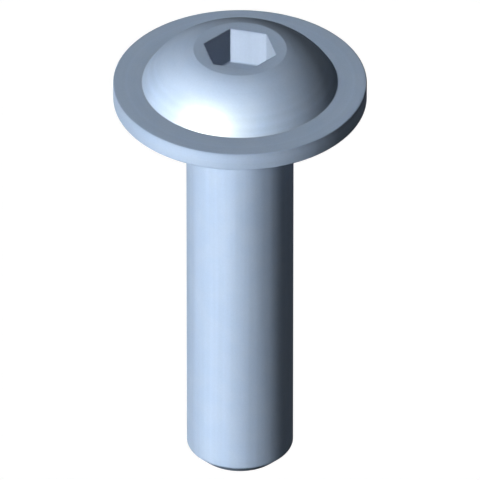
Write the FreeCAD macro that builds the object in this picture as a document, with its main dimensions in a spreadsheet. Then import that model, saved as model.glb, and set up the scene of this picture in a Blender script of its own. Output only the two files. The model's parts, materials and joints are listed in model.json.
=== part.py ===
import FreeCAD, Part

import math
import os
from enum import IntEnum

import Sketcher

# A low domed screw with a round collar under its dome and a hexagon socket in its crown.
# It is cold-formed in one piece, so it is one body: a turned form of shank, collar and
# dome, a chamfer at the tip, a fillet under the collar, a broken rim and a hexagon pressed
# into the crown. The origin is the middle of the bearing face under the collar, +Z runs up
# the axis to the crown and the shank hangs below. All lengths are in millimetres.

NODE = "mushroom_head_screw"
SHEET = "Sizes"

# Driving dimensions: name, value and what it measures
SIZES = [
    ("shank_diameter", 5.0, "outside of the shank, over the crests of the thread"),
    ("shank_length", 20.0, "bearing face to the end of the tip"),
    ("tip_chamfer", 0.49, "legs of the 45 degree chamfer at the tip, as deep as the thread"),
    ("neck_radius", 0.2, "fillet between the shank and the bearing face"),
    ("collar_diameter", 11.8, "outside of the collar"),
    ("collar_thickness", 0.9, "bearing face to the upper face of the collar"),
    ("rim_radius", 0.05, "rounding of the two outer edges of the collar"),
    ("head_height", 2.75, "bearing face to the crown"),
    ("dome_diameter", 9.1, "foot of the dome, where it meets the collar"),
    ("dome_radius", 3.65, "arc of the dome's side, seen in section"),
    ("crown_diameter", 4.33, "flat on top of the dome"),
    ("socket_width", 3.0, "across the flats of the hexagon"),
    ("socket_depth", 1.87, "crown to the flat floor of the socket"),
]

HEXAGON_SIDES = 6
FULL_TURN = 360
EDGE_TOLERANCE = 0.001


class Mark(IntEnum):
    """Numbers by which a sketch knows the ends of a line and the centre of a circle."""

    START = 1
    END = 2
    CENTRE = 3


class Axis(IntEnum):
    """Numbers by which a sketch knows its own two axes."""

    HORIZONTAL = -1
    VERTICAL = -2


SKETCH_ORIGIN = (Axis.HORIZONTAL, Mark.START)


def make_sheet(doc):
    """Sheet of the driving dimensions, one on each row: name, value, what it measures."""
    sheet = doc.addObject("Spreadsheet::Sheet", SHEET)
    for row, (name, value, meaning) in enumerate(SIZES, start=1):
        sheet.set(f"A{row}", name)
        sheet.set(f"B{row}", str(value))
        sheet.set(f"C{row}", meaning)
        sheet.setAlias(f"B{row}", name)
    doc.recompute()
    return sheet


def sketch_on(body, role, name):
    """Empty sketch on one of the body's own origin planes."""
    sketch = body.newObject("Sketcher::SketchObject", name)
    planes = [plane for plane in body.Origin.OriginFeatures if plane.Role == role]
    sketch.AttachmentSupport = [(planes[0], "")]
    sketch.MapMode = "FlatFace"
    return sketch


def close_loop(sketch, sides):
    """Draw the sides end to start and join each to the next, the last to the first."""
    for side in sides:
        sketch.addGeometry(side)
    for number in range(len(sides)):
        following = (number + 1) % len(sides)
        ends = (number, Mark.END, following, Mark.START)
        sketch.addConstraint(Sketcher.Constraint("Coincident", *ends))


def drawn_value(sketch, kind, ends):
    """Length that a dimension has on the geometry as it was drawn."""
    if kind == "Radius":
        return sketch.Geometry[ends[0]].Radius
    first = sketch.getPoint(ends[0], ends[1])
    second = sketch.getPoint(ends[2], ends[3])
    return second.x - first.x if kind == "DistanceX" else second.y - first.y


def dimension(sketch, name, formula, kind, *ends):
    """Add a named dimension between ends of the sketch's sides and bind it to the sheet."""
    drawn = drawn_value(sketch, kind, ends)
    index = sketch.addConstraint(Sketcher.Constraint(kind, *ends, drawn))
    sketch.renameConstraint(index, name)
    sketch.setExpression(f"Constraints.{name}", formula)


def dome_arc(foot, crown, radius):
    """Arc from the dome's foot to its crown, bulging outwards and upwards.

    Its third point is the middle of the chord, moved outwards by the arc's sagitta.
    """
    chord = crown - foot
    outwards = FreeCAD.Vector(chord.y, -chord.x, 0).normalize()
    sagitta = radius - math.sqrt(radius**2 - (chord.Length / 2) ** 2)
    return Part.Arc(foot, (foot + crown) / 2 + outwards * sagitta, crown)


def draw_half_section(body, sheet):
    """Half of the screw's section on the XZ plane, from the tip round to the axis."""
    sketch = sketch_on(body, "XZ_Plane", "half_section")
    axis = 0
    shank = sheet.shank_diameter / 2
    collar = sheet.collar_diameter / 2
    foot = sheet.dome_diameter / 2
    crown = sheet.crown_diameter / 2
    tip = -sheet.shank_length
    bearing = 0
    shoulder = sheet.collar_thickness
    top = sheet.head_height
    corners = [
        FreeCAD.Vector(radius, height, 0)
        for radius, height in [
            (axis, tip),
            (shank, tip),
            (shank, bearing),
            (collar, bearing),
            (collar, shoulder),
            (foot, shoulder),
            (crown, top),
            (axis, top),
        ]
    ]
    sides = [Part.LineSegment(a, b) for a, b in zip(corners, corners[1:] + corners[:1])]
    end_face, shank_side, bearing_face, rim, collar_top, dome, crown_flat, axis_line = range(8)
    sides[dome] = dome_arc(corners[dome], corners[crown_flat], sheet.dome_radius)
    close_loop(sketch, sides)

    for side in (end_face, bearing_face, collar_top, crown_flat):
        sketch.addConstraint(Sketcher.Constraint("Horizontal", side))
    for side in (shank_side, rim):
        sketch.addConstraint(Sketcher.Constraint("Vertical", side))
    for end in (Mark.START, Mark.END):
        on_axis = (axis_line, end, Axis.VERTICAL)
        sketch.addConstraint(Sketcher.Constraint("PointOnObject", *on_axis))
    at_bearing = (bearing_face, Mark.START, Axis.HORIZONTAL)
    sketch.addConstraint(Sketcher.Constraint("PointOnObject", *at_bearing))

    for name, side, size in (
        ("shank_radius", shank_side, "shank_diameter"),
        ("collar_radius", rim, "collar_diameter"),
        ("dome_foot_radius", dome, "dome_diameter"),
        ("crown_flat_radius", crown_flat, "crown_diameter"),
    ):
        half = f"{SHEET}.{size} / 2"
        dimension(sketch, name, half, "DistanceX", *SKETCH_ORIGIN, side, Mark.START)
    for name, side, size in (
        ("shoulder_height", collar_top, "collar_thickness"),
        ("crown_height", crown_flat, "head_height"),
    ):
        height = f"{SHEET}.{size}"
        dimension(sketch, name, height, "DistanceY", *SKETCH_ORIGIN, side, Mark.START)
    length = f"{SHEET}.shank_length"
    dimension(sketch, "tip_depth", length, "DistanceY", end_face, Mark.START, *SKETCH_ORIGIN)
    dimension(sketch, "dome_arc_radius", f"{SHEET}.dome_radius", "Radius", dome)
    return sketch


def turn(body, sketch):
    """Turn the half section once round its vertical axis."""
    turned = body.newObject("PartDesign::Revolution", "turned_form")
    turned.Profile = sketch
    turned.ReferenceAxis = (sketch, ["V_Axis"])
    turned.Angle = FULL_TURN
    return turned


def round_edges(shape, radius, *heights):
    """Names of the circular edges that have this radius, centred on the axis at these heights."""
    names = []
    for number, edge in enumerate(shape.Edges, start=1):
        ring = edge.Curve
        if not isinstance(ring, Part.Circle) or abs(ring.Radius - radius) > EDGE_TOLERANCE:
            continue
        if any(abs(ring.Center.z - height) < EDGE_TOLERANCE for height in heights):
            names.append(f"Edge{number}")
    if len(names) != len(heights):
        raise RuntimeError(f"{len(names)} of {len(heights)} edges found at radius {radius}")
    return names


def dress_edges(body, kind, name, base, edges, property_name, size):
    """Fillet or chamfer on the named edges of the feature before it, as wide as a size says."""
    feature = body.newObject(kind, name)
    feature.Base = (base, edges)
    feature.setExpression(property_name, f"{SHEET}.{size}")
    body.Document.recompute()
    return feature


def draw_hexagon(body, sheet):
    """Hexagon on the plane of the crown, with two of its corners on the X axis."""
    sketch = sketch_on(body, "XY_Plane", "socket_outline")
    sketch.setExpression("AttachmentOffset.Base.z", f"{SHEET}.head_height")
    reach = sheet.socket_width / math.sqrt(3)
    corners = []
    for number in range(HEXAGON_SIDES):
        angle = math.radians(number * FULL_TURN / HEXAGON_SIDES)
        corners.append(FreeCAD.Vector(reach * math.cos(angle), reach * math.sin(angle), 0))
    close_loop(sketch, [Part.LineSegment(a, b) for a, b in zip(corners, corners[1:] + corners[:1])])

    upwards = FreeCAD.Vector(0, 0, 1)
    circle = sketch.addGeometry(Part.Circle(FreeCAD.Vector(), upwards, reach), True)
    sketch.addConstraint(Sketcher.Constraint("Coincident", circle, Mark.CENTRE, *SKETCH_ORIGIN))
    for side in range(HEXAGON_SIDES):
        sketch.addConstraint(Sketcher.Constraint("PointOnObject", side, Mark.START, circle))
    for side in range(1, HEXAGON_SIDES):
        sketch.addConstraint(Sketcher.Constraint("Equal", 0, side))
    on_x = (0, Mark.START, Axis.HORIZONTAL)
    sketch.addConstraint(Sketcher.Constraint("PointOnObject", *on_x))
    upper_flat, lower_flat = 1, 4
    ends = (lower_flat, Mark.END, upper_flat, Mark.START)
    dimension(sketch, "across_flats", f"{SHEET}.socket_width", "DistanceY", *ends)
    return sketch


def press_socket(body, sketch):
    """Sink the hexagon into the head, to a flat floor."""
    socket = body.newObject("PartDesign::Pocket", "socket")
    socket.Profile = sketch
    socket.Type = "Length"
    socket.setExpression("Length", f"{SHEET}.socket_depth")
    return socket


def make_screw(doc, sheet):
    """The whole screw as one body."""
    body = doc.addObject("PartDesign::Body", NODE)
    body.Label = NODE
    body.Placement = FreeCAD.Placement()

    turned = turn(body, draw_half_section(body, sheet))
    doc.recompute()

    shank = sheet.shank_diameter / 2
    collar = sheet.collar_diameter / 2
    tip_edge = round_edges(turned.Shape, shank, -sheet.shank_length)
    chamfer = "PartDesign::Chamfer"
    tip = dress_edges(body, chamfer, "tip_chamfer", turned, tip_edge, "Size", "tip_chamfer")
    neck_edge = round_edges(tip.Shape, shank, 0)
    fillet = "PartDesign::Fillet"
    neck = dress_edges(body, fillet, "neck_fillet", tip, neck_edge, "Radius", "neck_radius")
    rim_edges = round_edges(neck.Shape, collar, 0, sheet.collar_thickness)
    rim = dress_edges(body, fillet, "rim_rounding", neck, rim_edges, "Radius", "rim_radius")

    socket = press_socket(body, draw_hexagon(body, sheet))
    doc.recompute()
    if socket.Shape.Volume >= rim.Shape.Volume:
        raise RuntimeError("the socket cut nothing out of the head")
    body.Tip = socket
    return body


def check_model(doc, body):
    """Stop unless every feature was made and the screw is one valid solid."""
    for item in doc.Objects:
        if {"Invalid", "Error"} & set(item.State):
            raise RuntimeError(f"{item.Label} was not made: {item.State}")
    for item in doc.findObjects("Sketcher::SketchObject"):
        if not item.FullyConstrained:
            raise RuntimeError(f"{item.Label} is not fully constrained")
    shape = body.Shape
    if shape.isNull() or not shape.isValid() or len(shape.Solids) != 1:
        raise RuntimeError(f"{body.Label} is not one valid solid")


def main():
    """Build the screw and write its solid."""
    doc = FreeCAD.newDocument("screw")
    sheet = make_sheet(doc)
    body = make_screw(doc, sheet)
    doc.recompute()
    check_model(doc, body)
    os.makedirs("parts", exist_ok=True)
    body.Shape.exportStep(f"parts/{body.Label}.step")
    print(f"{body.Label}: {body.Shape.Volume:.2f} cubic millimetres")


main()
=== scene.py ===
"""A mushroom head screw in satin zinc plate, standing on its tip on a white table.

The screw is one piece: a chamfered tip, a plain round shank, a collar, a low dome and a hexagon
socket. Its skin is one closed surface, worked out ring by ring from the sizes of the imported
frame, and it takes the place of the plain solid.
"""
import json
import logging
import math
from dataclasses import dataclass, field
from enum import Enum
from typing import Any

import bpy
import numpy as np
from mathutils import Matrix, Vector


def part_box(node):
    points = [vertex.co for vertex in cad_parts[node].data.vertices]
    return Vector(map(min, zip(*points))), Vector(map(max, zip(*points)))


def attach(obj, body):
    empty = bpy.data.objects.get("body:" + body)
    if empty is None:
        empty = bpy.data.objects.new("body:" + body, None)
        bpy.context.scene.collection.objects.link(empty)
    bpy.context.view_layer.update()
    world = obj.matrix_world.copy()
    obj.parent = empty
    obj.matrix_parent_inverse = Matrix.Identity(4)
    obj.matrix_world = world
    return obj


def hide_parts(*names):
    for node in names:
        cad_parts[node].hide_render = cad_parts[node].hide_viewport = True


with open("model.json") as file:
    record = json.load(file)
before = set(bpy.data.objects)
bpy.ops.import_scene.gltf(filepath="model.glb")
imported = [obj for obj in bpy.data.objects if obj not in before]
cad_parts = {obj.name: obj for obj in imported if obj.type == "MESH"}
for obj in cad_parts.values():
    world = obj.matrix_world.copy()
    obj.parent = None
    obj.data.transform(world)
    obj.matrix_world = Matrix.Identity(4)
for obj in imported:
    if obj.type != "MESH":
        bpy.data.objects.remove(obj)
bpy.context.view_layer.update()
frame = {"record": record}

NODE = "mushroom_head_screw"
BODY = "root"

MM = 0.001
TURN = 2 * math.pi
SIDES = 6

Colour = tuple[float, float, float]

log = logging.getLogger("screw")


# Surfaces


def arc(
    centre: tuple[float, float], radius: float, start: float, end: float, steps: int
) -> np.ndarray:
    """Points of a circular arc in the half plane of distance from the axis and height.

    Args:
        centre: distance from the axis and height of the arc's centre.
        radius: radius of the arc.
        start: angle of its first point in radians, 0 outwards and a quarter turn upwards.
        end: angle of its last point in radians.
        steps: number of equal steps between them.

    Returns:
        An array of steps + 1 rows: distance from the axis, height.
    """
    angle = np.linspace(start, end, steps + 1)
    away, height = centre[0] + radius * np.cos(angle), centre[1] + radius * np.sin(angle)
    return np.stack([away, height], axis=1)


def line(first: tuple[float, float], last: tuple[float, float], steps: int) -> np.ndarray:
    """Points of a straight line in the same half plane, in equal steps.

    Args:
        first: distance from the axis and height of its first point.
        last: the same of its last point.
        steps: number of equal steps between them.

    Returns:
        An array of steps + 1 rows: distance from the axis, height.
    """
    return np.linspace(first, last, steps + 1)


def hexagon(angle: np.ndarray, apothem: float, corner: float) -> np.ndarray:
    """Distance from the centre to a hexagon with rounded corners, for each angle.

    A side lies at apothem / cos(a), where a is measured from the middle of the side. Past the
    end of the straight part the outline is a circle of the corner's radius, round a point at
    distance d on the line to the corner: d cos(b) + sqrt(corner^2 - d^2 sin(b)^2), where b is
    measured from the corner.

    Args:
        angle: angles in radians, with a corner at 0.
        apothem: distance from the centre to a side.
        corner: radius of the corners.

    Returns:
        One distance for each angle.
    """
    half = TURN / SIDES / 2
    from_side = np.abs(np.mod(angle, 2 * half) - half)
    from_corner = half - from_side
    side = apothem / np.cos(from_side)
    away = (apothem - corner) / math.cos(half)
    under_root = np.maximum(corner**2 - (away * np.sin(from_corner)) ** 2, 0.0)
    bend = away * np.cos(from_corner) + np.sqrt(under_root)
    straight_end = math.atan((apothem - corner) * math.tan(half) / apothem)
    return np.where(from_side > straight_end, bend, side)


@dataclass
class Skin:
    """A closed surface under construction: rings of points, each joined to the one before.

    Every ring has one point for each column. The columns stand at fixed angles round the
    axis, and crowd towards the six corners of the socket.
    """

    columns: int = 288
    crowding: float = 0.72
    points: list[np.ndarray] = field(default_factory=list)
    faces: list[np.ndarray] = field(default_factory=list)
    count: int = 0
    last: np.ndarray | None = None

    @property
    def angles(self) -> np.ndarray:
        """Angle of each column: b - crowding / 6 * sin(6 b), for even steps b."""
        even = np.arange(self.columns) * TURN / self.columns
        return even - self.crowding / SIDES * np.sin(SIDES * even)

    def rings(self, radius: np.ndarray, height: np.ndarray) -> None:
        """Add rings of points (r cos a, r sin a, h) and join them to the one before.

        Args:
            radius: distance from the axis: a row for each ring, with one value for all of its
                columns or one for each.
            height: height of each ring.
        """
        radius = np.broadcast_to(radius, (len(radius), self.columns))
        level = np.broadcast_to(height[:, None], radius.shape)
        x, y = radius * np.cos(self.angles), radius * np.sin(self.angles)
        placed = np.stack([x, y, level], axis=-1)
        self.points.append(placed.reshape(-1, 3))
        self.join(np.arange(self.count, self.count + level.size).reshape(level.shape))
        self.count += level.size

    def turned(self, profile: np.ndarray) -> None:
        """Add a stretch that is turned about the axis.

        Args:
            profile: rows of distance from the axis and height.
        """
        self.rings(profile[:, :1], profile[:, 1])

    def pole(self, height: float) -> None:
        """Begin or end the skin at one point on the axis.

        Args:
            height: where on the axis it lies.
        """
        self.points.append(np.array([[0.0, 0.0, height]]))
        self.join(np.full((1, self.columns), self.count))
        self.count += 1

    def join(self, numbers: np.ndarray) -> None:
        """Put two triangles, facing outwards, on each cell between the rings.

        A triangle that has closed up at a pole, because two of its corners are one point, is
        left out.

        Args:
            numbers: numbers of the new points, a row for each ring.
        """
        if self.last is not None:
            numbers = np.vstack([self.last, numbers])
        after = np.roll(numbers, -1, axis=1)
        corners = numbers[:-1], after[:-1], after[1:], numbers[1:]
        a, b, c, d = (corner.ravel() for corner in corners)
        cells = np.concatenate([np.stack([a, b, c], axis=1), np.stack([a, c, d], axis=1)])
        first, second, third = cells.T
        self.faces.append(cells[(first != second) & (second != third) & (third != first)])
        self.last = numbers[-1]

    def piece(self, name: str) -> bpy.types.Object:
        """Put the skin into a smooth-shaded mesh object.

        Args:
            name: name of the object and its mesh.
        """
        data = bpy.data.meshes.new(name)
        points, faces = np.concatenate(self.points), np.concatenate(self.faces)
        data.from_pydata(points.tolist(), [], faces.tolist())
        data.polygons.foreach_set("use_smooth", np.ones(len(faces), dtype=bool))
        data.update()
        made = bpy.data.objects.new(name, data)
        bpy.context.scene.collection.objects.link(made)
        return made


# The screw


@dataclass(frozen=True)
class Shank:
    """The shank: a flat tip, its chamfer and a plain round side up to the collar's fillet."""

    radius: float
    tip: float
    end: float
    chamfer: float = 0.49 * MM
    rounding: float = 0.03 * MM
    margin: float = 0.02 * MM
    first_ring: float = 0.3
    flat_steps: int = 4
    bend_steps: int = 3
    chamfer_steps: int = 3
    side_steps: int = 24

    def lay(self, skin: Skin) -> None:
        """Add the flat end, the chamfer and the side, from the axis out and up.

        Flat and chamfer, and chamfer and side, meet at an eighth of a turn. A rounding of
        radius g starts g tan(1/16 turn) before such a corner, which places its centre.

        Args:
            skin: the skin that the stretch is added to.
        """
        eighth, g = TURN / 8, self.rounding
        flat, shoulder = self.radius - self.chamfer, self.tip + self.chamfer
        back = g * math.tan(eighth / 2)
        skin.pole(self.tip)
        first, last = (self.first_ring * flat, self.tip), (flat - back - self.margin, self.tip)
        skin.turned(line(first, last, self.flat_steps))
        skin.turned(arc((flat - back, self.tip + g), g, -2 * eighth, -eighth, self.bend_steps))
        inner, outer = flat + back + self.margin, self.radius - back - self.margin
        first, last = (inner, self.tip + inner - flat), (outer, self.tip + outer - flat)
        skin.turned(line(first, last, self.chamfer_steps))
        skin.turned(arc((self.radius - g, shoulder + back), g, -eighth, 0, self.bend_steps))
        first, last = (self.radius, shoulder + back + self.margin), (self.radius, self.end)
        skin.turned(line(first, last, self.side_steps))


@dataclass(frozen=True)
class Head:
    """The head: fillet, bearing face, collar and dome up to the flat crown."""

    shank_radius: float
    collar_radius: float
    top: float
    collar_top: float = 0.9 * MM
    dome_foot: float = 4.55 * MM
    dome_radius: float = 3.65 * MM
    crown_radius: float = 2.165 * MM
    neck: float = 0.2 * MM
    rim: float = 0.05 * MM
    foot_fillet: float = 0.05 * MM
    crown_rounding: float = 0.1 * MM
    margin: float = 0.02 * MM
    neck_steps: int = 8
    bearing_steps: int = 5
    rim_steps: int = 5
    rim_side_steps: int = 3
    face_steps: int = 4
    foot_steps: int = 5
    dome_steps: int = 32
    crown_steps: int = 4

    @property
    def dome_centre(self) -> tuple[float, float]:
        """Centre of the dome's arc.

        It lies on the line through the middle of the chord from foot to crown, square to the
        chord, at a distance of sqrt(radius^2 - (chord / 2)^2) on the inner side.
        """
        across, rise = self.crown_radius - self.dome_foot, self.top - self.collar_top
        chord = math.hypot(across, rise)
        back = math.sqrt(self.dome_radius**2 - (chord / 2) ** 2) / chord
        middle = (self.dome_foot + self.crown_radius) / 2, (self.collar_top + self.top) / 2
        return middle[0] - back * rise, middle[1] + back * across

    def lay_collar(self, skin: Skin) -> None:
        """Add the fillet under the head, the bearing face and the collar's rim.

        Args:
            skin: the skin that the stretch is added to.
        """
        quarter, rim, reach = TURN / 4, self.rim, self.rim + self.margin
        inner, outer = self.shank_radius + self.neck, self.collar_radius
        skin.turned(arc((inner, -self.neck), self.neck, 2 * quarter, quarter, self.neck_steps))
        skin.turned(line((inner + self.margin, 0), (outer - reach, 0), self.bearing_steps))
        skin.turned(arc((outer - rim, rim), rim, -quarter, 0, self.rim_steps))
        first, last = (outer, reach), (outer, self.collar_top - reach)
        skin.turned(line(first, last, self.rim_side_steps))
        skin.turned(arc((outer - rim, self.collar_top - rim), rim, 0, quarter, self.rim_steps))

    def lay_dome(self, skin: Skin) -> None:
        """Add the collar's upper face, the fillet at the dome's foot, the dome and its top edge.

        A fillet of radius f touches the upper face and the dome from outside, so its centre
        is f above the face and radius + f from the dome's centre. The crown's rounding of
        radius g touches from inside: g below the crown and radius - g from that centre.

        Args:
            skin: the skin that the stretch is added to.
        """
        quarter = TURN / 4
        x, y = self.dome_centre
        f, g, dome = self.foot_fillet, self.crown_rounding, self.dome_radius
        rise = self.collar_top + f - y
        foot = x + math.sqrt((dome + f) ** 2 - rise**2)
        foot_angle = math.atan2(rise, foot - x)
        drop = self.top - g - y
        crown = x + math.sqrt((dome - g) ** 2 - drop**2)
        crown_angle = math.atan2(drop, crown - x)

        outer = self.collar_radius - self.rim - self.margin
        first, last = (outer, self.collar_top), (foot + self.margin, self.collar_top)
        skin.turned(line(first, last, self.face_steps))
        centre, end = (foot, self.collar_top + f), foot_angle - 2 * quarter
        skin.turned(arc(centre, f, -quarter, end, self.foot_steps))
        skin.turned(arc((x, y), dome, foot_angle, crown_angle, self.dome_steps)[1:])
        skin.turned(arc((crown, self.top - g), g, crown_angle, quarter, self.crown_steps)[1:])


@dataclass(frozen=True)
class Socket:
    """The hexagon socket, from the crown's flat down to its flat floor."""

    top: float
    crown_radius: float
    apothem: float = 1.5 * MM
    depth: float = 1.87 * MM
    corner: float = 0.05 * MM
    mouth: float = 0.03 * MM
    foot: float = 0.08 * MM
    margin: float = 0.02 * MM
    margins: int = 3
    flat_shares: tuple[float, ...] = (0.0, 0.35, 0.7, 0.95)
    floor_shares: tuple[float, ...] = (0.97, 0.7, 0.35)
    bend_rings: int = 5
    wall_rings: int = 6

    def level(
        self, skin: Skin, apothem: np.ndarray, height: np.ndarray, corner: np.ndarray
    ) -> None:
        """Add level hexagonal rings.

        Args:
            skin: the skin that they are added to.
            apothem: distance from the axis to a side, for each ring.
            height: height of each ring.
            corner: radius of the corners, for each ring.
        """
        outlines = [hexagon(skin.angles, side, bend) for side, bend in zip(apothem, corner)]
        skin.rings(np.array(outlines), height)

    def lay(self, skin: Skin) -> None:
        """Add the crown's flat, the mouth's edge, the walls and the floor, and close the skin.

        The flat passes from a circle to the mouth's outline by (1 - w) circle + w hexagon.

        Args:
            skin: the skin that the stretch is added to.
        """
        floor = self.top - self.depth
        circle = self.crown_radius - self.margins * self.margin
        weight = np.array(self.flat_shares)
        outline = hexagon(skin.angles, self.apothem + self.mouth, self.corner + self.mouth)
        flat = (1 - weight)[:, None] * circle + weight[:, None] * outline
        skin.rings(flat, np.full(len(weight), self.top))

        bend = np.linspace(0, TURN / 4, self.bend_rings)
        spread, drop = self.mouth * (1 - np.sin(bend)), self.mouth * (1 - np.cos(bend))
        self.level(skin, self.apothem + spread, self.top - drop, self.corner + spread)
        upper, lower = self.top - self.mouth - self.margin, floor + self.foot + self.margin
        wall = np.linspace(upper, lower, self.wall_rings)
        self.level(skin, np.full(len(wall), self.apothem), wall, np.full(len(wall), self.corner))
        inwards = self.apothem - self.foot * (1 - np.cos(bend))
        climb = self.foot * (1 - np.sin(bend))
        self.level(skin, inwards, floor + climb, np.full(len(bend), self.corner))
        share = np.array(self.floor_shares)
        self.level(skin, share * inwards[-1], np.full(len(share), floor), share * self.corner)
        skin.pole(floor)


@dataclass(frozen=True)
class MushroomHeadScrew:
    """The whole screw, one closed piece."""

    shank: Shank
    head: Head
    socket: Socket

    @classmethod
    def from_frame(cls) -> "MushroomHeadScrew":
        """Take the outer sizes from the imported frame: its box, and the mount on the shank."""
        low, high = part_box(NODE)
        mounts = {mount["name"]: mount for mount in frame["record"]["mounts"]}
        radius = mounts["shank"]["dims"]["r_mm"] * MM
        head = Head(shank_radius=radius, collar_radius=high[0], top=high[2])
        shank = Shank(radius=radius, tip=low[2], end=-head.neck - head.margin)
        return cls(shank, head, Socket(top=high[2], crown_radius=head.crown_radius))

    def build(self) -> bpy.types.Object:
        """Lay the skin from the tip to the socket's floor and put it in the solid's place."""
        skin = Skin()
        self.shank.lay(skin)
        self.head.lay_collar(skin)
        self.head.lay_dome(skin)
        self.socket.lay(skin)
        piece = skin.piece(f"{NODE}_skin")
        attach(piece, BODY)
        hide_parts(NODE)
        return piece

    def dress(self, piece: bpy.types.Object, finish: "ZincPlate") -> None:
        """Give the piece its finish.

        Args:
            piece: the screw's object.
            finish: what it is plated with.
        """
        piece.data.materials.append(finish.material(self))


# Finishes


class Operation(Enum):
    """Operations of a Math node that the finishes use."""

    ADD = "ADD"
    SUBTRACT = "SUBTRACT"
    MULTIPLY = "MULTIPLY"
    SQUARE_ROOT = "SQRT"
    MINIMUM = "MINIMUM"
    MAXIMUM = "MAXIMUM"
    ABSOLUTE = "ABSOLUTE"


class Wire:
    """An output socket with the arithmetic of numbers: each operation adds a Math node."""

    def __init__(self, bench: "Bench", socket: bpy.types.NodeSocket) -> None:
        """Wrap a socket.

        Args:
            bench: the bench that its node stands on.
            socket: an output socket.
        """
        self.bench = bench
        self.socket = socket

    def math(self, operation: Operation, *values: Any) -> "Wire":
        """Add a Math node.

        Args:
            operation: what it does.
            values: its inputs in order, wires or numbers.
        """
        settings = {"operation": operation.value}
        return self.bench.add("ShaderNodeMath", settings, dict(enumerate(values)))

    def __add__(self, other: Any) -> "Wire":
        """This plus other."""
        return self.math(Operation.ADD, self, other)

    def __radd__(self, other: Any) -> "Wire":
        """Other plus this."""
        return self.math(Operation.ADD, other, self)

    def __sub__(self, other: Any) -> "Wire":
        """This less other."""
        return self.math(Operation.SUBTRACT, self, other)

    def __rsub__(self, other: Any) -> "Wire":
        """Other less this."""
        return self.math(Operation.SUBTRACT, other, self)

    def __mul__(self, other: Any) -> "Wire":
        """This times other."""
        return self.math(Operation.MULTIPLY, self, other)

    def __rmul__(self, other: Any) -> "Wire":
        """Other times this."""
        return self.math(Operation.MULTIPLY, other, self)

    def __abs__(self) -> "Wire":
        """This without its sign."""
        return self.math(Operation.ABSOLUTE, self)

    def siblings(self) -> list["Wire"]:
        """All outputs of this one's node, in order."""
        return [Wire(self.bench, output) for output in self.socket.node.outputs]

    def root(self) -> "Wire":
        """Square root of this."""
        return self.math(Operation.SQUARE_ROOT, self)

    def least(self, other: Any) -> "Wire":
        """The smaller of this and other."""
        return self.math(Operation.MINIMUM, self, other)

    def most(self, other: Any) -> "Wire":
        """The larger of this and other."""
        return self.math(Operation.MAXIMUM, self, other)

    def rise(self, start: float, end: float) -> "Wire":
        """Smooth step of this, from 0 at start to 1 at end, where start may be the larger.

        Args:
            start: value at which the result is 0.
            end: value at which it is 1.
        """
        inputs = {"Value": self, "From Min": start, "From Max": end}
        return self.bench.add("ShaderNodeMapRange", {"interpolation_type": "SMOOTHSTEP"}, inputs)


class Bench:
    """A node tree, and the one way in which nodes are added to it."""

    def __init__(self, owner: Any) -> None:
        """Clear the nodes of a material or world and work on them.

        Args:
            owner: the material or world.
        """
        owner.use_nodes = True
        self.tree = owner.node_tree
        self.tree.nodes.clear()

    def add(
        self, kind: str, settings: dict[str, Any], inputs: dict[Any, Any], output: Any = 0
    ) -> Wire:
        """Add a node, set it up and fill its sockets.

        Args:
            kind: the node's type.
            settings: its properties, which are set first.
            inputs: a wire or a value for each socket, by name or number.
            output: name or number of the output to go on from.

        Returns:
            The wire from that output.
        """
        made = self.tree.nodes.new(kind)
        for name, value in settings.items():
            setattr(made, name, value)
        for key, value in inputs.items():
            if isinstance(value, Wire):
                self.tree.links.new(value.socket, made.inputs[key])
            else:
                made.inputs[key].default_value = value
        return Wire(self, made.outputs[output]) if made.outputs else None

    def blend(self, share: Any, first: Any, second: Any) -> Wire:
        """Mix two colours.

        Args:
            share: how much of the second there is, from 0 to 1.
            first: a colour, or its wire.
            second: the other.
        """
        colours = [value if isinstance(value, Wire) else (*value, 1.0) for value in (first, second)]
        inputs = {0: share, 6: colours[0], 7: colours[1]}
        return self.add("ShaderNodeMix", {"data_type": "RGBA"}, inputs, 2)

    def scaled(self, vector: Wire, factor: Any) -> Wire:
        """A vector or colour times a number.

        Args:
            vector: its wire.
            factor: the number, or its wire.
        """
        inputs = {0: vector, "Scale": factor}
        return self.add("ShaderNodeVectorMath", {"operation": "SCALE"}, inputs)

    def noise(self, place: Wire, size: float, detail: float = 2.0) -> Wire:
        """Smooth noise between 0 and 1.

        Args:
            place: where it is read, in metres.
            size: about the size of its patches, in metres.
            detail: how many finer layers it has.
        """
        inputs = {"Vector": place, "Scale": 1 / size, "Detail": detail}
        return self.add("ShaderNodeTexNoise", {"noise_dimensions": "3D"}, inputs)


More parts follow.
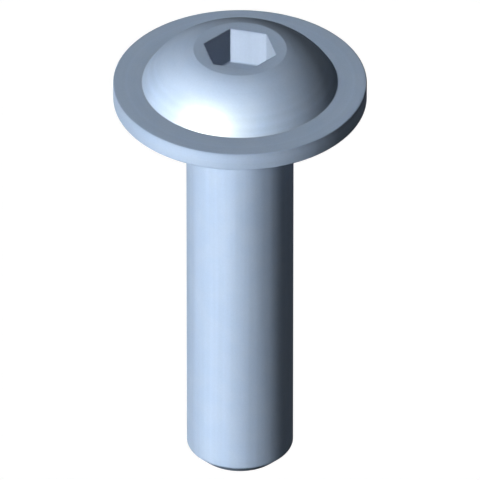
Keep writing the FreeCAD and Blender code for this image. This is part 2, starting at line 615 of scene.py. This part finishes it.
@dataclass(frozen=True)
class ZincPlate:
    """Satin zinc plate with a blue passivation, over cold-formed steel."""

    plate: Colour = (0.41, 0.53, 0.72)
    bloom: Colour = (0.425, 0.54, 0.72)
    # Painted shade: the greyer tone of the socket's walls and the inner corners
    recess_shade_tone: Colour = (0.425, 0.52, 0.67)
    metallic: float = 0.05
    roughness: float = 0.45
    cloud: float = 0.9 * MM
    cloud_start: float = 0.35
    cloud_end: float = 0.65
    grain: float = 0.09 * MM
    mark: float = 0.3 * MM
    stretch: float = 0.02
    grain_shade: float = 0.1
    mark_shade: float = 0.16
    # Painted shade: how much darker the chamfer at the tip is painted
    tip_painted_shade: float = 0.25
    corner_shade_share: float = 0.5
    cloud_gloss: float = 0.1
    mark_gloss: float = 0.12
    mark_relief: float = 1.5
    relief: float = 0.0012 * MM
    seam: float = 0.02 * MM
    edge_reach: float = 0.13 * MM
    corner_reach: float = 0.15 * MM

    def place(self, bench: Bench) -> tuple[Wire, ...]:
        """Where a point of the surface is, for the patterns.

        Args:
            bench: the material's bench.

        Returns:
            Its place, its height, its distance from the axis, and its distance from the
            socket's axis square to the nearest flat: the largest |x cos a + y sin a| over
            the angles a of three flats.
        """
        place = bench.add("ShaderNodeTexCoord", {}, {}, "Object")
        x, y, z = bench.add("ShaderNodeSeparateXYZ", {}, {0: place}).siblings()
        flats = [TURN / SIDES * (turn + 0.5) for turn in range(SIDES // 2)]
        first, second, third = (abs(x * math.cos(a) + y * math.sin(a)) for a in flats)
        return place, z, (x * x + y * y).root(), first.most(second).most(third)

    def zones(self, screw: MushroomHeadScrew, z: Wire, away: Wire, side: Wire) -> dict[str, Wire]:
        """Masks of the screw's zones, each 1 inside its zone.

        Args:
            screw: the screw whose sizes they follow.
            z: height.
            away: distance from the axis.
            side: distance from the axis square to the socket's flats.

        Returns:
            The shank, the chamfer at the tip, the inside of the socket, the socket's walls, the
            sharp outer edges and the inner corners.
        """
        shank, head, socket = screw.shank, screw.head, screw.socket
        seam, reach = self.seam, self.corner_reach
        shoulder, floor = shank.tip + shank.chamfer, head.top - socket.depth

        def ring(radius: Wire, at: float, height: float) -> Wire:
            """Distance from a ring in the section: sqrt((radius - at)^2 + (z - height)^2)."""
            return ((radius - at) * (radius - at) + (z - height) * (z - height)).root()

        edge = ring(away, head.collar_radius, 0)
        edge = edge.least(ring(away, head.collar_radius, head.collar_top))
        edge = edge.least(ring(side, socket.apothem, head.top))
        edge = edge.least(ring(away, shank.radius, shoulder))
        # Inner corners at the dome's foot, the neck and the socket's floor, which carry painted
        # shade
        foot = ring(away, head.dome_foot, head.collar_top).least(ring(away, shank.radius, 0))
        foot = foot.least(ring(side, socket.apothem, floor))
        inside = side.rise(socket.apothem + seam, socket.apothem)
        return {
            "shank": z.rise(0, -seam),
            "tip": z.rise(shoulder + seam, shoulder - seam),
            "socket": inside * z.rise(0, head.collar_top),
            "wall": inside * z.rise(floor, floor + reach),
            "edge": edge.rise(self.edge_reach, seam),
            "corner": foot.rise(reach, seam),
        }

    def material(self, screw: MushroomHeadScrew) -> bpy.types.Material:
        """The finish as a material.

        The plate is clouded and grained. The tool left fine marks, along the shank and in the
        socket, and in rings on the head. Outer edges, where the zinc is thickest, are matt.
        The socket's walls and, at half strength, the inner corners take a greyer tone: painted
        shade. The chamfer at the tip is painted darker: painted shade. The socket's inner corners
        and the tip are matt.

        Args:
            screw: the screw whose sizes it follows.
        """
        made = bpy.data.materials.new("zinc_plate")
        bench = Bench(made)
        place, z, away, side = self.place(bench)
        zone = self.zones(screw, z, away, side)

        cloud = bench.noise(place, self.cloud, 3)
        grain = bench.noise(place, self.grain, 2)
        factors = {0: place, 1: (1, 1, self.stretch)}
        drawn_out = bench.add("ShaderNodeVectorMath", {"operation": "MULTIPLY"}, factors)
        along = bench.noise(drawn_out, self.mark, 3)
        section = bench.add("ShaderNodeCombineXYZ", {}, {0: away, 1: z})
        around = bench.noise(section, self.mark, 3)
        marks = around + (along - around) * zone["shank"].most(zone["socket"])

        tone = bench.blend(cloud.rise(self.cloud_start, self.cloud_end), self.plate, self.bloom)
        # Painted shade: the socket's walls, and at half strength the inner corners, take the greyer
        # tone
        tone = bench.blend(zone["wall"].most(zone["corner"] * self.corner_shade_share), tone, self.recess_shade_tone)
        shade = 1 + (grain - 0.5) * self.grain_shade + (marks - 0.5) * self.mark_shade
        # Painted shade: the chamfer at the tip is darkened
        shade = shade - zone["tip"] * self.tip_painted_shade
        gloss = self.roughness + (cloud - 0.5) * self.cloud_gloss + (marks - 0.5) * self.mark_gloss
        matt = zone["edge"].most(zone["corner"] * zone["socket"]).most(zone["tip"])
        relief = grain + marks * self.mark_relief
        surface = {
            "Base Color": bench.scaled(tone, shade),
            "Metallic": (1 - matt) * self.metallic,
            "Roughness": gloss,
            "Specular IOR Level": 0.0,
            "Normal": bench.add("ShaderNodeBump", {}, {"Height": relief, "Distance": self.relief}),
        }
        shader = bench.add("ShaderNodeBsdfPrincipled", {}, surface)
        bench.add("ShaderNodeOutputMaterial", {}, {"Surface": shader})
        return made


# The studio


def towards(azimuth: float, elevation: float) -> Vector:
    """Direction from the screw to something at this azimuth and elevation.

    Args:
        azimuth: degrees round the axis, 0 at -Y and 90 at +X.
        elevation: degrees above the table.
    """
    a, e = math.radians(azimuth), math.radians(elevation)
    return Vector((math.sin(a) * math.cos(e), -math.cos(a) * math.cos(e), math.sin(e)))


@dataclass(frozen=True)
class Lamp:
    """A far softbox, which lights everything evenly from one side.

    It may cast no shadow, send no light on from one surface to the next, and leave out either
    the light on matt surfaces or the gleam. Its spread in degrees is how wide it looks from
    the screw.
    """

    name: str
    azimuth: float
    elevation: float
    spread: float
    level: float
    colour: Colour = (1.0, 1.0, 1.0)
    shadow: bool = True
    bounce: bool = True
    light: bool = True
    gleam: bool = True

    def hang(self) -> None:
        """Hang the lamp. A white surface that faces it square on is as bright as its level."""
        data = bpy.data.lights.new(self.name, "SUN")
        data.energy = self.level * math.pi
        data.color = self.colour
        data.angle = math.radians(self.spread)
        data.use_shadow = self.shadow
        if not self.bounce:
            data.cycles.max_bounces = 0
            # With it on, all lamps together lit the shank less than their sum one by one
            data.cycles.use_multiple_importance_sampling = False
        lamp = bpy.data.objects.new(self.name, data)
        lamp.visible_diffuse, lamp.visible_glossy = self.light, self.gleam
        back = towards(self.azimuth, self.elevation)
        lamp.location = back
        lamp.rotation_euler = back.to_track_quat("Z", "Y").to_euler()
        bpy.context.scene.collection.objects.link(lamp)


@dataclass(frozen=True)
class Studio:
    """White table and ground, lamps and camera, as the picture has them.

    The picture has no shadows, a small bright highlight and a wide soft gleam. So a weak key
    casts the shadow, fill and side light the screw, gleam and sky are seen in the plate only,
    and back lights what the picture doesn't show.
    """

    azimuth: float = -45.0
    elevation: float = math.degrees(math.atan(1 / math.sqrt(2)))
    lens: float = 1500.0
    sensor: float = 36.0
    view_width: float = 22.44 * MM
    aim_height: float = -8.11 * MM
    table_width: float = 8.0
    table_tone: float = 0.1
    table_glow: float = 0.97
    ambient: float = 0.028
    clip_ratio: float = 100.0
    lamps: tuple[Lamp, ...] = (
        Lamp("key", -88.0, 23.0, 14.0, 0.03, bounce=False),
        Lamp("fill", -84.3, 25.6, 6.0, 0.56, shadow=False, bounce=False, gleam=False),
        Lamp("side", -95.0, 18.0, 6.0, 0.375, shadow=False, bounce=False, gleam=False),
        Lamp(
            "gleam", -87.0, 28.0, 28.0, 16.5, (1.0, 0.79, 0.4),
            shadow=False, bounce=False, light=False,
        ),
        Lamp("sky", -95.0, 25.0, 140.0, 9.1, shadow=False, bounce=False, light=False),
        Lamp("back", 135.0, -35.3, 6.0, 0.36, shadow=False, gleam=False),
    )

    def white_to_camera_and_metal(self, bench: Bench) -> Wire:
        """1 for a ray from the camera, a reflection or a pane, and 0 for what lights the screw.

        Args:
            bench: bench of the material or world.
        """
        rays = ("Is Camera Ray", "Is Glossy Ray", "Is Transmission Ray")
        wires = (bench.add("ShaderNodeLightPath", {}, {}, ray) for ray in rays)
        camera, glossy, transmission = wires
        return camera.most(glossy).most(transmission)

    def lay_table(self, height: float) -> None:
        """Lay the table, a plane that is seen white and keeps the screw's shadow.

        Args:
            height: height of the screw's tip.
        """
        half = self.table_width / 2
        outline = (-half, -half), (half, -half), (half, half), (-half, half)
        corners = [(x, y, height) for x, y in outline]
        data = bpy.data.meshes.new("table")
        data.from_pydata(corners, [], [(0, 1, 2, 3)])
        table = bpy.data.objects.new("table", data)
        bpy.context.scene.collection.objects.link(table)
        made = bpy.data.materials.new("table_white")
        made.cycles.emission_sampling = "NONE"
        bench = Bench(made)
        cloth = bench.add("ShaderNodeBsdfDiffuse", {}, {"Color": (*[self.table_tone] * 3, 1.0)})
        strength = self.white_to_camera_and_metal(bench) * self.table_glow
        glow = bench.add("ShaderNodeEmission", {}, {"Strength": strength})
        both = bench.add("ShaderNodeAddShader", {}, {0: cloth, 1: glow})
        bench.add("ShaderNodeOutputMaterial", {}, {"Surface": both})
        data.materials.append(made)

    def fill_world(self) -> None:
        """Light the screw from all round at the ambient level, in front of a white ground."""
        world = bpy.data.worlds.new("studio")
        bpy.context.scene.world = world
        bench = Bench(world)
        strength = self.ambient + self.white_to_camera_and_metal(bench) * (1 - self.ambient)
        inputs = {"Strength": strength, "Color": (1.0, 1.0, 1.0, 1.0)}
        ground = bench.add("ShaderNodeBackground", {}, inputs)
        bench.add("ShaderNodeOutputWorld", {}, {"Surface": ground})

    def place_camera(self) -> None:
        """Look at the screw from the picture's side, from far off through a long lens."""
        data = bpy.data.cameras.new("camera")
        data.lens, data.sensor_width = self.lens, self.sensor
        distance = self.view_width * self.lens / self.sensor
        data.clip_start, data.clip_end = distance / self.clip_ratio, distance * self.clip_ratio
        camera = bpy.data.objects.new("camera", data)
        back = towards(self.azimuth, self.elevation)
        camera.location = Vector((0, 0, self.aim_height)) + back * distance
        camera.rotation_euler = back.to_track_quat("Z", "Y").to_euler()
        bpy.context.scene.collection.objects.link(camera)
        bpy.context.scene.camera = camera

    def build(self, floor: float) -> None:
        """Set up the whole studio.

        Args:
            floor: height of the table.
        """
        bpy.context.scene.view_settings.view_transform = "Standard"
        self.lay_table(floor)
        self.fill_world()
        for lamp in self.lamps:
            lamp.hang()
        self.place_camera()


def main() -> None:
    """Build the screw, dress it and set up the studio."""
    logging.basicConfig(level=logging.INFO, format="%(message)s")
    screw = MushroomHeadScrew.from_frame()
    piece = screw.build()
    screw.dress(piece, ZincPlate())
    points, triangles = len(piece.data.vertices), len(piece.data.polygons)
    log.info("%s: %d points, %d triangles", piece.name, points, triangles)
    Studio().build(screw.shank.tip)


if __name__ == "__main__":
    main()
